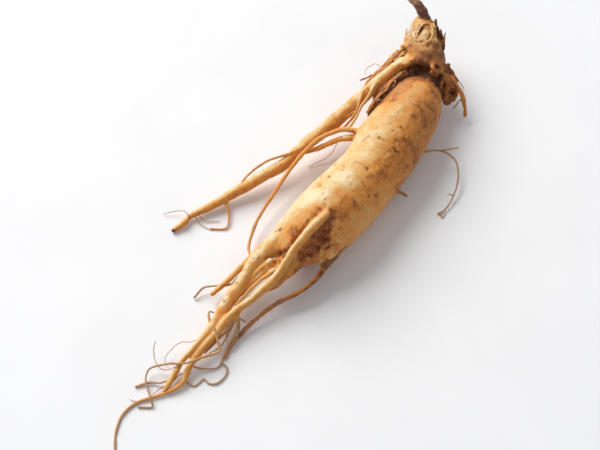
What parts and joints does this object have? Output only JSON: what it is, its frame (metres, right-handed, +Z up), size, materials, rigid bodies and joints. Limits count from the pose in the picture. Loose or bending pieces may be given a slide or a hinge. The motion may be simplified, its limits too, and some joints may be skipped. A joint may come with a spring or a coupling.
{
  "type": "ginseng root",
  "caption": "Whole ginseng root lying down: plump main root with a crown and stem stub, forked legs, a long side root and fine rootlets.",
  "frame": {"origin": "middle of the small flat under the belly that the root rests on, on the table", "axes": "+X along the root from its tail to its crown, +Z up from the table, +Y towards the long side root"},
  "size_m": [0.2075, 0.0802, 0.0275],
  "materials": {
    "skin": "dry matt skin, pale cream-yellow to ochre, with fine creases and brown soil marks",
    "stem_bark": "dry, dark purple-brown bark, tan towards the broken end",
    "papery_scale": "dry papery skin, pale tan to dark brown at the frayed edges"
  },
  "bodies": {
    "root": {"root": "skin", "stem_stub": "stem_bark", "bud_scale_1": "papery_scale", "bud_scale_2": "papery_scale", "bud_scale_3": "papery_scale", "bud_scale_4": "papery_scale", "bud_scale_5": "papery_scale", "bud_scale_6": "papery_scale"}
  },
  "joints": []
}
